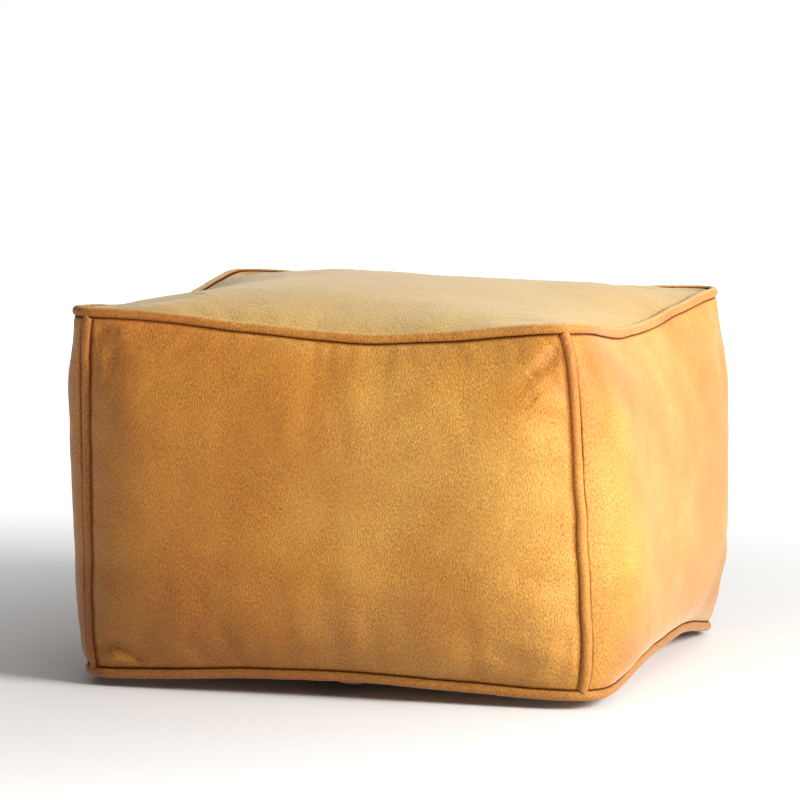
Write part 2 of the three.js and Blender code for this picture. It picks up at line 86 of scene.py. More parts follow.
# Where each upright seam meets the loops, in mm round from the corner, at the top and bottom.
MEETS = {"top": (12, -5, 0, 0), "bottom": (3, -7, 0, 0)}
# How far each upright's middle stands away from the line between its ends, in mm.
UPRIGHT_BOW = ((-3, -2), (7, -3), (5, 4), (-4, 4))
SEAM_Z = {"top": TOP_Z, "bottom": BOTTOM_Z}


# ---- noise
def noise(wavelength, seed, *axes):
    """Smooth noise from -1 to 1. Each axis is an array of places, in metres."""
    scaled = np.stack([np.asarray(axis, float) / wavelength for axis in axes], -1)
    cell = np.floor(scaled).astype(np.int64)
    part = scaled - cell
    part = part * part * (3 - 2 * part)
    total = np.zeros(scaled.shape[:-1])
    primes = (73856093, 19349663, 83492791)
    for corner in np.ndindex(*(2,) * len(axes)):
        key = np.full(total.shape, seed * 2654435761, np.int64)
        weight = np.ones(total.shape)
        for axis, step in enumerate(corner):
            key = key ^ ((cell[..., axis] + step) * primes[axis])
            weight = weight * (part[..., axis] if step else 1 - part[..., axis])
        key = key & 0xFFFFFFFF
        for _ in range(2):
            key = ((key ^ (key >> 15)) * 0x2C1B3C6D) & 0xFFFFFFFF
        total += weight * (key / 2**31 - 1)
    return total


def bump(distance, width):
    """1 at no distance, falling smoothly to 0."""
    return np.exp(-((distance / width) ** 2))


# ---- seams
def corner_point(level, k):
    signs = CORNER_SIGNS[k % 4]
    drafted = np.array((CORNER * signs[0], CORNER * signs[1], SEAM_Z[level]))
    return drafted + np.array(SETTLED[level][k % 4]) * MM


def seam(level, k, s):
    """Points on the middle of a piping, at s from -1 to 1 along side k."""
    s = np.asarray(s, float)
    share = ((1 + s) / 2)[:, None]
    points = corner_point(level, k) * (1 - share) + corner_point(level, k + 1) * share
    sag, deepest, narrow, drawn_in = SEAMS[level][k]
    out = SHOULDER * (1 - np.abs(s) ** 24) - drawn_in * MM * (1 - s * s)
    away = 1 - np.clip(s * s, 0, 1)
    held = np.minimum(1, 4 * away)
    out = out + 0.9 * MM * noise(60 * MM, 11 + k + 5 * (level == "top"), s * CORNER) * held
    q = s - deepest * (1 - s * s)
    dip = sag * MM * (1 - np.clip(q * q, 0, 1)) ** narrow
    dip = dip + 0.7 * MM * noise(45 * MM, 31 + k + 5 * (level == "top"), s * CORNER) * held
    return points + out[:, None] * OUTWARD[k] - dip[:, None] * UP


def inward(level, k, s):
    """The level way in, square to the seam. It turns with the seam at the corners."""
    step = 1e-3
    run = seam(level, k, np.asarray(s) + step) - seam(level, k, np.asarray(s) - step)
    run[:, 2] = 0
    run /= np.linalg.norm(run, axis=1, keepdims=True)
    return np.cross(UP, run)


def round_loop(level, places):
    """Points on a loop at places counted in sides from the front left corner, and the level
    way in there."""
    places = np.asarray(places, float)
    points, ways = np.empty((len(places), 3)), np.empty((len(places), 3))
    for number in range(-1, 5):
        here = np.floor(places) == number
        if here.any():
            s = 2 * (places[here] - number) - 1
            points[here] = seam(level, number % 4, s)
            ways[here] = inward(level, number % 4, s)
    return points, ways


# A panel's edge beside the piping, and then its turned-in allowance: how far each line of
# points lies in along the panel, and out from it. The last two lines are the edges of the
# inner bag and of the filling.
EDGE_LINES = (
    (4.4 * MM, 2.0 * MM),
    (5.2 * MM, -0.8 * MM),
    (8 * MM, -4.5 * MM),
    (12 * MM, -9 * MM),
    (15 * MM, -12 * MM),
    (17 * MM, -14 * MM),
)
ALLOWANCE_LINES = (1, 2, 3)
BAG_LINE, FILL_LINE = 4, 5
# The same lines at a side panel's upright seams.
END_INSET = (3 * MM, 5 * MM, 8 * MM, 12 * MM, 15 * MM, 17 * MM)


def stations(count):
    """Places from -1 to 1, closer together towards both ends."""
    t = np.linspace(-1, 1, count)
    return 1.25 * t - 0.25 * t**3


def swell(s, power):
    """A stuffed panel's section: 0 at the seams, 1 in the middle."""
    return 1 - np.abs(s) ** power


# ---- panels as grids of points
# How far each side stands out past its seams in mm, how soon across and up the panel, and how
# low down it is fullest.
BELLY = ((26, 6, 5, 0.05), (28, 6, 4.5, 0.2), (30, 6, 5, 0.05), (13.5, 9, 14, 0.3))
TOP_LEAN = 6 * MM  # how much fuller the top is on its left, and how much flatter on its right


def side_line(level, k, s, line):
    inset, out = EDGE_LINES[line]
    towards = -UP if level == "top" else UP
    start = k + (MEETS[level][k] * MM + END_INSET[line]) / (2 * CORNER)
    end = k + 1 + (MEETS[level][(k + 1) % 4] * MM - END_INSET[line]) / (2 * CORNER)
    points, ways = round_loop(level, start + (end - start) * (1 + s) / 2)
    return points + inset * towards - out * ways


def upright_bow(k, v):
    """How far an upright seam stands away from a straight line, at v from -1 to 1 up it."""
    bow = np.array((*UPRIGHT_BOW[k % 4], 0)) * MM
    wander = 0.4 * MM * noise(30 * MM, 51 + k % 4, v * TOP_Z / 2)
    return (1 - np.abs(v) ** 8)[:, None] * (bow + wander[:, None] * (1, 1, 0))


def side_grid(k, us, vs, line=0, depth=0.0):
    low = side_line("bottom", k, us, line)[:, None]
    high = side_line("top", k, us, line)[:, None]
    share = ((1 + vs) / 2)[None, :, None]
    belly, across_power, up_power, low_down = BELLY[k]
    lowered = vs + low_down * (1 - vs**2)
    stuffed = (belly * MM - depth) * np.outer(swell(us, across_power), swell(lowered, up_power))
    across = ((1 + us) / 2)[:, None, None]
    bowed = upright_bow(k, vs)[None] * (1 - across) ** 3 + upright_bow(k + 1, vs)[None] * across**3
    return low * (1 - share) + high * share + bowed + stuffed[..., None] * OUTWARD[k]


def side_border(k, us, vs, line):
    low, high = side_line("bottom", k, us, line), side_line("top", k, us, line)
    share = ((1 + vs) / 2)[:, None]
    right = low[-1] * (1 - share) + high[-1] * share + upright_bow(k + 1, vs)
    left = low[0] * (1 - share) + high[0] * share + upright_bow(k, vs)
    return np.concatenate((low[:-1], right[:-1], high[:0:-1], left[:0:-1]))


def flat_line(level, k, s, line):
    inset, out = EDGE_LINES[line]
    away = UP if level == "top" else -UP
    return seam(level, k, s) + inset * inward(level, k, s) + out * away


def flat_curves(level, us, vs, line):
    """The four edges of the top or the underside: front, right, back and left, each run
    from low to high x or y."""
    return (
        flat_line(level, 0, us, line),
        flat_line(level, 1, vs, line),
        flat_line(level, 2, -us, line),
        flat_line(level, 3, -vs, line),
    )


def flat_patch(level, us, vs, fade, line=0):
    """The surface held by those four edges. Heights fade from an edge by the power fade."""
    front, right, back, left = flat_curves(level, us, vs, line)
    ends = np.array((-1.0, 1.0))
    corners = flat_curves(level, ends, ends, line)
    front_left, front_right = corners[0][0], corners[0][1]
    back_left, back_right = corners[2][0], corners[2][1]
    a, b = ((1 + us) / 2)[:, None, None], ((1 + vs) / 2)[None, :, None]

    def between(p, q, t):
        return p * (1 - t) + q * t

    front_run = between(front_left, front_right, a)
    back_run = between(back_left, back_right, a)
    powers = np.array((1, 1, fade))
    base = between(front_run, back_run, b)
    base = base + (front[:, None] - front_run) * (1 - b) ** powers
    base = base + (back[:, None] - back_run) * b**powers
    base = base + (left[None] - between(front_left, back_left, b)) * (1 - a) ** powers
    return base + (right[None] - between(front_right, back_right, b)) * a**powers


def top_grid(us, vs, line=0, crown=CROWN_Z):
    base = flat_patch("top", us, vs, 3, line)
    middle = base[len(us) // 2, len(vs) // 2, 2]
    across = np.where(us < 0, swell(us, 2.3), swell(us, 4))
    rise = np.outer((crown - middle - TOP_LEAN * us) * across, swell(vs, 4))
    return base + rise[..., None] * UP


def top_border(us, vs, line):
    front, right, back, left = flat_curves("top", us, vs, line)
    return np.concatenate((front[:-1], right[:-1], back[:0:-1], left[:0:-1]))


VALLEY_EDGE_Z = 9.2 * MM  # the leather's height beside the zip
VALLEY_WIDTH = 38 * MM
ZIP_STRIP = 19 * MM  # the underside stays level this far to each side of the zip's middle


def underside_grid(us, vs, line=0, floor=0.0, valley=VALLEY_EDGE_Z):
    """The underside, flat on the floor, lifting at the seams and beside the zip."""
    base = flat_patch("bottom", us, vs, 4, line)
    beyond_strip = np.maximum(0, np.abs(us * CORNER) - ZIP_STRIP)
    by_zip = bump(beyond_strip, 7 * MM)[:, None]
    resting = swell(us, 7)[:, None] * (swell(vs, 3) * (1 - by_zip) + swell(vs, 16) * by_zip)
    width = VALLEY_WIDTH * (1 + 4 * np.abs(vs) ** 6)
    rise = np.clip(1 - (np.abs(base[..., 0]) - ZIP_EDGE) / width, 0, 1) ** 2
    level = floor + valley * rise
    base[..., 2] = base[..., 2] * (1 - resting) + level * resting
    return base


# ---- mesh helpers
def add_object(name, data):
    obj = bpy.data.objects.new(name, data)
    bpy.context.scene.collection.objects.link(obj)
    return obj


def make_object(name, points, faces):
    mesh = bpy.data.meshes.new(name)
    mesh.from_pydata(np.asarray(points, float).tolist(), [], [list(map(int, f)) for f in faces])
    mesh.polygons.foreach_set("use_smooth", [True] * len(mesh.polygons))
    return add_object(name, mesh)


def set_cut(obj, flat_places):
    """Records where each point lies on the flat material, in metres, for its pattern."""
    layer = obj.data.uv_layers.new(name="cut")
    index = np.zeros(len(obj.data.loops), np.int64)
    obj.data.loops.foreach_get("vertex_index", index)
    layer.data.foreach_set("uv", np.asarray(flat_places, np.float32)[index].ravel())


def set_shade(obj, name, values):
    attribute = obj.data.attributes.new(name, "FLOAT", "POINT")
    attribute.data.foreach_set("value", np.asarray(values, np.float32))


def grid_faces(n, m):
    i, j = np.meshgrid(np.arange(n - 1), np.arange(m - 1), indexing="ij")
    a = (i * m + j).ravel()
    return np.stack((a, a + m, a + m + 1, a + 1), 1)


def border_of(n, m):
    """The border of an n by m grid as point numbers, anticlockwise from its first corner."""
    low = [i * m for i in range(n - 1)]
    right = [(n - 1) * m + j for j in range(m - 1)]
    high = [i * m + m - 1 for i in range(n - 1, 0, -1)]
    left = list(range(m - 1, 0, -1))
    return np.array(low + right + high + left)


def refined(grid):
    """The same surface with a point added between every two, on a smooth curve."""
    for axis in (0, 1):
        g = np.moveaxis(grid, axis, 0)
        before = np.concatenate(((2 * g[0] - g[1])[None], g[:-2]))
        after = np.concatenate((g[2:], (2 * g[-1] - g[-2])[None]))
        middles = (9 * (g[:-1] + g[1:]) - before - after) / 16
        out = np.empty((2 * len(g) - 1,) + g.shape[1:])
        out[::2] = g
        out[1::2] = middles
        grid = np.moveaxis(out, 0, axis)
    return grid


def grid_normals(grid):
    normals = np.cross(np.gradient(grid, axis=0), np.gradient(grid, axis=1))
    return normals / np.linalg.norm(normals, axis=-1, keepdims=True)


# ---- cloth simulation
CAP = 12 * MM  # the furthest the cloth may move a point
SIM_FRAMES = 22
FULLNESS_KEPT = 0.05  # how much of the cloth's broad swelling is kept
WRINKLES_KEPT = (0.2, 0.08, 0.3, 0.1, 0.16)  # on the four sides and the top


def smoothed(grid, passes):
    """A grid's broad shape, its border held."""
    grid = grid.copy()
    for _ in range(passes):
        middle = grid[1:-1, 1:-1]
        around = grid[:-2, 1:-1] + grid[2:, 1:-1] + grid[1:-1, :-2] + grid[1:-1, 2:]
        grid[1:-1, 1:-1] = 0.4 * middle + 0.15 * around
    return grid


def relaxed(grids):
    """The grids after their cloth has settled over the filling's pressure. Every edge is
    held where it is sewn, and each sheet is cut a little larger than its frame. The panels
    keep their drafted fullness, and take the cloth's wrinkles."""
    points, faces, held, first = [], [], [], 0
    for grid in grids:
        n, m = grid.shape[:2]
        points.append(grid.reshape(-1, 3))
        faces.append(grid_faces(n, m) + first)
        held.append(border_of(n, m) + first)
        first += n * m
    start = np.concatenate(points)
    obj = make_object("cloth", start, np.concatenate(faces))
    group = obj.vertex_groups.new(name="held")
    group.add(np.concatenate(held).tolist(), 1.0, "REPLACE")
    modifier = obj.modifiers.new("cloth", "CLOTH")
    cloth = modifier.settings
    cloth.quality = 6
    cloth.mass = 0.4
    cloth.tension_stiffness = 30
    cloth.compression_stiffness = 30
    cloth.shear_stiffness = 12
    cloth.bending_stiffness = 2.5
    cloth.tension_damping = 12
    cloth.air_damping = 2
    cloth.shrink_min = -0.022
    cloth.use_pressure = True
    cloth.uniform_pressure_force = 3.0
    cloth.effector_weights.gravity = 0
    cloth.vertex_group_mass = "held"
    modifier.collision_settings.use_collision = False
    modifier.point_cache.frame_start = 1
    modifier.point_cache.frame_end = SIM_FRAMES
    for number in range(1, SIM_FRAMES):
        bpy.context.scene.frame_set(number)
    settled = obj.evaluated_get(bpy.context.evaluated_depsgraph_get())
    end = np.zeros(len(start) * 3)
    settled.data.vertices.foreach_get("co", end)
    move = end.reshape(-1, 3) - start
    bpy.data.objects.remove(obj)
    bpy.context.scene.frame_set(1)
    size = np.linalg.norm(move, axis=1, keepdims=True)
    move *= np.minimum(1, CAP / np.maximum(size, 1e-9))
    result, first = [], 0
    for grid, kept in zip(grids, WRINKLES_KEPT):
        count = grid.shape[0] * grid.shape[1]
        moved = move[first : first + count].reshape(grid.shape)
        broad = smoothed(moved, 40)
        result.append(grid + FULLNESS_KEPT * broad + kept * (moved - broad))
        first += count
    return result


# ---- folds and puckers
def edge_distances(us, vs, half_u, half_v):
    """For each point, its distance from each edge of the panel, and its place along it."""
    u, v = np.meshgrid(us, vs, indexing="ij")
    return (
        ((1 + u) * half_u, v * half_v),
        ((1 - u) * half_u, v * half_v),
        ((1 + v) * half_v, u * half_u),
        ((1 - v) * half_v, u * half_u),
    )


def puckers(edges, seed, strength=1.0):
    """Gathers that run in from each seam, broad ones further than fine ones."""
    total = 0
    for number, (away, along) in enumerate(edges):
        for wavelength, depth, reach in GATHERS:
            wave = noise(wavelength * MM, seed + 7 * number + wavelength, along)
            painted_light_gradient = away / (reach * MM)
            total = total + depth * MM * wave * painted_light_gradient * np.exp(1 - painted_light_gradient) * strength
    return total


def fold(u, v, start, end, width, depth):
    """A soft crease between two places on a panel, in metres from its middle."""
    start, end = np.array(start) * MM, np.array(end) * MM
    run = end - start
    t = np.clip(((u - start[0]) * run[0] + (v - start[1]) * run[1]) / (run @ run), 0, 1)
    off = np.hypot(u - start[0] - t * run[0], v - start[1] - t * run[1])
    taper = np.sqrt(np.clip(1 - (2 * t - 1) ** 4, 0, 1))
    return -depth * MM * bump(off, width * MM) * (0.35 + 0.65 * taper)


# Folds on each panel: from, to, width and depth, in mm, seen from outside with x to the right
# and the origin in the panel's middle. A negative depth stands out.
FOLDS = {
    "front": (
        ((-222, 150), (-190, 116), 11, 1.3),
        ((-222, 154), (-196, 150), 6, 1.6),
        ((226, 150), (198, 128), 7, 3.6),
        ((205, 108), (222, 96), 12, -3.0),
        ((224, 138), (206, 88), 9, 1.2),
        ((-228, -146), (-208, -137), 6, 4.0),
        ((-208, -137), (-178, -160), 6, 4.0),
        ((-214, -150), (-190, -154), 9, -2.6),
        ((222, 40), (176, 46), 11, 1.4),
        ((222, -10), (170, -4), 13, 1.6),
        ((224, -62), (178, -58), 11, 1.5),
        ((224, -118), (184, -112), 11, 1.5),
        ((222, -148), (150, -128), 12, 1.8),
    ),
    "right": (
        ((-222, 150), (-150, 96), 22, 2.4),
        ((222, 148), (170, 84), 18, 3.0),
        ((-222, -150), (-150, -112), 17, 2.6),
        ((222, -142), (150, -92), 22, 4.0),
        ((120, -150), (196, -60), 16, 2.2),
    ),
    "back": (
        ((-222, 150), (-158, 94), 15, 3.0),
        ((222, 150), (166, 100), 14, 2.8),
        ((-222, -150), (-160, -110), 14, 2.6),
        ((222, -150), (150, -120), 15, 2.8),
        ((-60, -156), (-20, -128), 14, 1.6),
    ),
    "left": (
        ((-222, 150), (-164, 96), 16, 3.0),
        ((222, 150), (160, 90), 15, 2.8),
        ((-222, -150), (-158, -112), 15, 2.8),
        ((222, -150), (162, -104), 14, 2.6),
    ),
    "top": (
        ((-222, -222), (-140, -150), 20, 3.2),
        ((222, -222), (150, -160), 18, 1.4),
        ((222, 222), (160, 150), 18, 3.0),
        ((-222, 222), (-150, 160), 20, 3.2),
    ),
}
# How strongly each panel is gathered at its seams.
PUCKERED = {"front": 0.6, "right": 0.2, "back": 0.8, "left": 0.25, "top": 0.5}
# How quickly the shadow beside a seam ends, on each panel's left, right, bottom and top edges.
SHADOW_ENDS = {
    "front": (0.55, 0.8, 1.3, 1.3),
    "right": (2.5, 2.5, 2, 1.6),
    "back": (1, 1, 1, 1),
    "left": (1, 1, 1, 1),
    "top": (1.2, 1.2, 1.2, 1.2),
}
# The wavelength, depth and reach of the gathers at a seam, in mm.
GATHERS = ((34, 1.5, 38), (15, 0.55, 18), (7, 0.2, 8))


FULL_WEAR_AND_SHADE = 3 * MM  # a point this high is painted fully worn and lit, and one this deep fully in painted shade


def dented(grid, name, us, vs, half_u, half_v, seed):
    """The panel with its folds and puckers, how far each point is from a seam's shadow, and
    how high or deep it lies in them."""
    normals = grid_normals(grid)
    edges = edge_distances(us, vs, half_u, half_v)
    u, v = np.meshgrid(us * half_u, vs * half_v, indexing="ij")
    move = puckers(edges, seed, PUCKERED[name])
    near = np.minimum.reduce([away for away, _ in edges])
    held = 1 - bump(near, 7 * MM)
    for start, end, width, depth in FOLDS[name]:
        wandering = 5 * MM * noise(40 * MM, seed + 3, u, v)
        move = move + fold(u + wandering, v - wandering, start, end, width, depth) * held
    move = move + 0.8 * MM * noise(90 * MM, seed + 1, u, v) * held
    move = move + 0.16 * MM * noise(22 * MM, seed + 2, u, v) * held
    shadowed = np.minimum.reduce([away * ends for (away, _), ends in zip(edges, SHADOW_ENDS[name])])
    return grid + move[..., None] * normals, shadowed, move / FULL_WEAR_AND_SHADE


# ---- leather panels
def panel_object(name, grid, borders, near, worn_and_shaded, places):
    """A closed leather panel: its outer face, the turned-in allowance, and its inner face."""
    n, m = grid.shape[:2]
    border = border_of(n, m)
    faces = [grid_faces(n, m)]
    points = [grid.reshape(-1, 3)]
    normals = grid_normals(grid)
    behind = [(grid - LEATHER * normals).reshape(-1, 3)]
    centre = grid.reshape(-1, 3).mean(0)
    outward = normals[n // 2, m // 2]
    last, first = border, n * m
    near_seam = [near.ravel()]
    folded = [worn_and_shaded.ravel()]
    cuts = [places.reshape(-1, 2)]
    for line in borders:
        count = len(line)
        new = first + np.arange(count)
        faces.append(np.stack((np.roll(last, -1), last, new, np.roll(new, -1)), 1))
        points.append(line)
        way = centre - line
        way -= (way @ outward)[:, None] * outward
        way /= np.linalg.norm(way, axis=1, keepdims=True)
        behind.append(line + LEATHER * (way - outward) / math.sqrt(2))
        near_seam.append(np.zeros(count))
        folded.append(np.zeros(count))
        cuts.append(places.reshape(-1, 2)[border])
        last, first = new, first + count
    outer = np.concatenate(faces)
    inner = outer[:, ::-1] + first
    wall = np.stack((np.roll(last, -1), last, last + first, np.roll(last, -1) + first), 1)
    obj = make_object(name, np.concatenate(points + behind), np.concatenate((outer, inner, wall)))
    set_cut(obj, np.concatenate(cuts * 2))
    set_shade(obj, "near_seam", np.concatenate(near_seam * 2))
    set_shade(obj, "folded", np.concatenate(folded * 2))
    return obj


COARSE = 68  # cells across a panel before it is refined
COARSE_UP = 50
HALF_HEIGHT = (TOP_Z - BOTTOM_Z) / 2
CUT_STEP = 0.6  # how far apart the panels lie on the flat material
# Places across and up a panel, coarse and after it has been refined twice.
us0, vs0 = stations(COARSE + 1), stations(COARSE_UP + 1)
us2, vs2 = stations(4 * COARSE + 1), stations(4 * COARSE_UP + 1)

sheets = [side_grid(k, us0, vs0) for k in range(4)] + [top_grid(us0, us0)]
sheets = relaxed(sheets)


def cut_places(us, vs, half_u, half_v, number):
    """Where a panel's points lie on the flat material it is cut from."""
    u, v = np.meshgrid(us * half_u + number * CUT_STEP, vs * half_v, indexing="ij")
    return np.stack((u, v), -1)


def leather_panel(name, number, borders, vs, half_v, seed):
    """A side or the top: its sheet made finer, dented, and given its turned-in edges."""
    fine = refined(refined(sheets[number]))
    fine, near, worn_and_shaded = dented(fine, name, us2, vs, CORNER, half_v, seed)
    places = cut_places(us2, vs, CORNER, half_v, number)
    return panel_object("leather_" + name, fine, borders, near, worn_and_shaded, places)


leather_pieces = {}
for k, side in enumerate(SIDES):
    borders = [side_border(k, us2, vs2, line) for line in ALLOWANCE_LINES]
    leather_pieces[side + "_panel"] = leather_panel(side, k, borders, vs2, HALF_HEIGHT, 100 + 20 * k)
borders = [top_border(us2, us2, line) for line in ALLOWANCE_LINES]
leather_pieces["top_panel"] = leather_panel("top", 4, borders, us2, CORNER, 200)

# ---- underside, in two halves
HEM = ((-0.4, 0.35), (-0.5, 0.75), (-0.4, 1.15))  # the folded edge beside the zip, mm
ALONG = (1, 1, -1, -1)  # which way each side's seam runs against x or y
UNDERSIDE_ACROSS, UNDERSIDE_ALONG = 121, 241  # points on each half of the underside
underside_rows = {}


def underside_half(sign):
    """One half of the underside, from the zip to the side seam, with its outside facing down."""
    from_zip = ZIP_EDGE / CORNER
    us = sign * (from_zip + (1 - from_zip) * (1 + stations(UNDERSIDE_ACROSS)) / 2)
    vs = -sign * stations(UNDERSIDE_ALONG)
    grid = underside_grid(us, vs)
    from_edge = (np.abs(us) - from_zip) / (1 - from_zip)
    grid[..., 0] += (sign * ZIP_EDGE - grid[:1, :, 0]) * (1 - from_edge)[:, None]
    u, v = np.meshgrid(us * CORNER, vs * CORNER, indexing="ij")
    edges = ((CORNER - np.abs(u), v), (CORNER + v, u), (CORNER - v, u))
    near = np.minimum.reduce([away for away, _ in edges])
    lift = np.clip(puckers(edges, 300 + sign), 0, 2 * MM)
    lift = lift + 0.5 * MM * (1 + noise(30 * MM, 310 + sign, u, v)) * bump(near - 35 * MM, 30 * MM)
    grid[..., 2] += lift * (1 - bump(np.abs(u) - ZIP_EDGE, 14 * MM))
    underside_rows[sign] = grid
    first, side, last = (2, 1, 0) if sign > 0 else (0, 3, 2)
    borders = []
    for line, (shift, rise) in zip(ALLOWANCE_LINES, HEM):
        start = flat_line("bottom", first, ALONG[first] * us, line)
        outer = flat_line("bottom", side, ALONG[side] * vs, line)
        end = flat_line("bottom", last, ALONG[last] * us, line)
        hem = grid[0] + np.array((sign * shift * MM, 0, rise * MM))
        borders.append(np.concatenate((start[:-1], outer[:-1], end[:0:-1], hem[:0:-1])))
    places = cut_places(us, vs, CORNER, CORNER, 5.5)
    name = "leather_underside_" + ("right" if sign > 0 else "left")
    return panel_object(name, grid, borders, near, lift / FULL_WEAR_AND_SHADE, places)


def underside_z(x, y):
    """The height of the leather's outside at x and y, near the zip."""
    grid = underside_rows[1 if x > 0 else -1]
    row = grid[np.argmin(np.abs(grid[:, grid.shape[1] // 2, 0] - x))]
    order = np.argsort(row[:, 1])
    return np.interp(y, row[order, 1], row[order, 2])


leather_pieces["bottom_panel_right"] = underside_half(1)
leather_pieces["bottom_panel_left"] = underside_half(-1)


# ---- tubes
def tube(rings, closed):
    """The points and faces of a tube through rings of equal length, facing out."""
    count, n = rings.shape[:2]
    r = np.arange(count if closed else count - 1)
    a = (r[:, None] * n + np.arange(n)).ravel()
    b = (r[:, None] * n + (np.arange(n) + 1) % n).ravel()
    step = (((r + 1) % count) - r).repeat(n) * n
    quads = np.stack((a, b, b + step, a + step), 1)
    points = rings.reshape(-1, 3)
    p = points[quads] - points.mean(0)
    inside_out = (p[:, 0] * np.cross(p[:, 1], p[:, 2]) + p[:, 0] * np.cross(p[:, 2], p[:, 3])).sum() < 0
    faces = quads.tolist()
    if not closed:
        faces.append(list(range(n))[::-1])
        faces.append(list(range((count - 1) * n, count * n)))
    if inside_out:
        faces = [face[::-1] for face in faces]
    return points, faces


def joined_object(name, parts):
    points, faces, first = [], [], 0
    for part_points, part_faces in parts:
        points.append(part_points)
        faces += [[i + first for i in face] for face in part_faces]
        first += len(part_points)
    return make_object(name, np.concatenate(points), faces)


def framed(path, inward_way, closed):
    """The way along a path, the way in from it, and the way across."""
    if closed:
        along = np.roll(path, -1, 0) - np.roll(path, 1, 0)
    else:
        along = np.gradient(path, axis=0)
    along /= np.linalg.norm(along, axis=1, keepdims=True)
    way = inward_way(along)
    way = way - (way * along).sum(1, keepdims=True) * along
    way /= np.linalg.norm(way, axis=1, keepdims=True)
    return way, np.cross(along, way)


# ---- pipings and their cords
SLIT = 0.15 * MM  # half the gap between the strip's two layers in the seam
STRIP_HALF = 1.35 * MM  # half the thickness of the two layers
ALLOWANCE = 10 * MM  # how far the layers reach in past the piping
RING_STEP = 1.5 * MM  # between a piping's rings of points
ROUND_POINTS = 30
CORD_PITCH = 15 * MM  # the length of one full twist
STRAND_OFFSET = 1.58 * MM
STRAND_R = 1.36 * MM


def strip_section():
    """A strip folded round a cord: how far each point lies in along its allowances, and across."""
    def arc(radius, half, count):
        start = math.asin(half / radius)
        angles = np.linspace(start, 2 * math.pi - start, count)
        return np.stack((radius * np.cos(angles), radius * np.sin(angles)), 1)

    reach = PIPING_R + ALLOWANCE
    round_part = arc(PIPING_R, STRIP_HALF, ROUND_POINTS)
    bore = arc(STRIP_BORE, SLIT, 14)[::-1]
    lower = ((reach, -STRIP_HALF), (reach, -SLIT))
    upper = ((reach, SLIT), (reach, STRIP_HALF))
    return np.concatenate((round_part, lower, bore, upper))


SECTION = strip_section()


def loop_path(level):
    count = int(2 * CORNER / RING_STEP)
    s = np.linspace(-1, 1, count, endpoint=False)
    return np.concatenate([seam(level, k, s) for k in range(4)])


def piping_points(path, way, across, seed):
    """Rings of the folded strip, with its lumps and cross wrinkles, and how far each point
    stands out towards the crest."""
    rings = path[:, None] + SECTION[:, 0, None] * way[:, None] + SECTION[:, 1, None] * across[:, None]
    crest = np.zeros(rings.shape[:2])
    crest[:, :ROUND_POINTS] = -SECTION[:ROUND_POINTS, 0] / PIPING_R
    x, y, z = np.moveaxis(rings, -1, 0)
    swelling = 0.3 * noise(26 * MM, seed, x, y, z) + 0.16 * noise(9 * MM, seed + 1, x, y, z)
    run = np.arange(len(path)) * RING_STEP
    swelling = swelling + 0.13 * noise(4.2 * MM, seed + 2, run)[:, None]
    held = np.clip(0.4 + 0.9 * crest, 0, 1)
    out = rings - path[:, None]
    out /= np.linalg.norm(out, axis=-1, keepdims=True)
    return rings + (swelling * held * MM)[..., None] * out, crest


def piping_object(name, rings, crest, closed):
    points, faces = tube(rings, closed)
    obj = make_object(name, points, faces)
    # painted shade on the piping's back, where it sinks between the panels; its crest is painted
    # lighter as wear, its back darker as shade
    set_shade(obj, "near_seam", 10 * MM * np.clip(crest.ravel() + 0.25, 0, 1))
    set_shade(obj, "folded", crest.ravel())
    along = np.repeat(np.arange(len(rings)) * RING_STEP, rings.shape[1])
    round_it = np.tile(np.arange(rings.shape[1]) * MM, len(rings))
    set_cut(obj, np.stack((along, round_it), -1))
    return obj


def twisted_cord(name, path, way, across, closed):
    """A cord of three twisted strands."""
    length = np.linalg.norm(np.diff(path, axis=0), axis=1).sum()
    turns = round(length / CORD_PITCH)
    share = np.linspace(0, 1, len(path), endpoint=not closed)
    parts = []
    for strand in range(3):
        turn = 2 * math.pi * (turns * share + strand / 3)
        out = np.cos(turn)[:, None] * way + np.sin(turn)[:, None] * across
        side = np.sin(turn)[:, None] * way - np.cos(turn)[:, None] * across
        centre = path + STRAND_OFFSET * out
        angles = np.linspace(0, 2 * math.pi, 9)[:-1]
        ring = [STRAND_R * (math.cos(a) * out + math.sin(a) * side) for a in angles]
        parts.append(tube(centre[:, None] + np.stack(ring, 1), closed))
    return joined_object(name, parts)


def loop_piping(name, level, turned, seed):
    """The piping and the cord of the top or bottom seam. Its allowances point in, and down
    when turned is -1 or up when it is 1."""
    path = loop_path(level)
    way, across = framed(path, lambda along: np.cross(UP, along) + turned * UP, True)
    rings, crest = piping_points(path, way, across, seed)
    cover = piping_object(name, rings, crest, True)
    return cover, twisted_cord(name + "_twist", path, way, across, True)


def upright_reach(a):
    """How far from a corner's level an upright's point stops, at a in along the allowance."""
    round_part = np.sqrt(np.maximum(PIPING_R**2 - a**2, (2.4 * MM) ** 2))
    allowance = np.where(a > 0, a + STRIP_HALF * math.sqrt(2), 0)
    return np.maximum(round_part, allowance) + 0.5 * MM


def meeting(level, k):
    """Where an upright's line meets a loop."""
    return round_loop(level, [k + MEETS[level][k] * MM / (2 * CORNER)])[0][0]


def shortened(rings, low, high):
    """An upright's rings, stopping short of the loops at both ends."""
    middle, height = (high[2] + low[2]) / 2, high[2] - low[2]
    squeeze = 1 - 2 * upright_reach(SECTION[:, 0]) / height
    heights = middle + (rings[..., 2] - middle) * squeeze
    rings[..., :2] += (heights - rings[..., 2])[..., None] * (high - low)[:2] / height
    rings[..., 2] = heights
    return rings


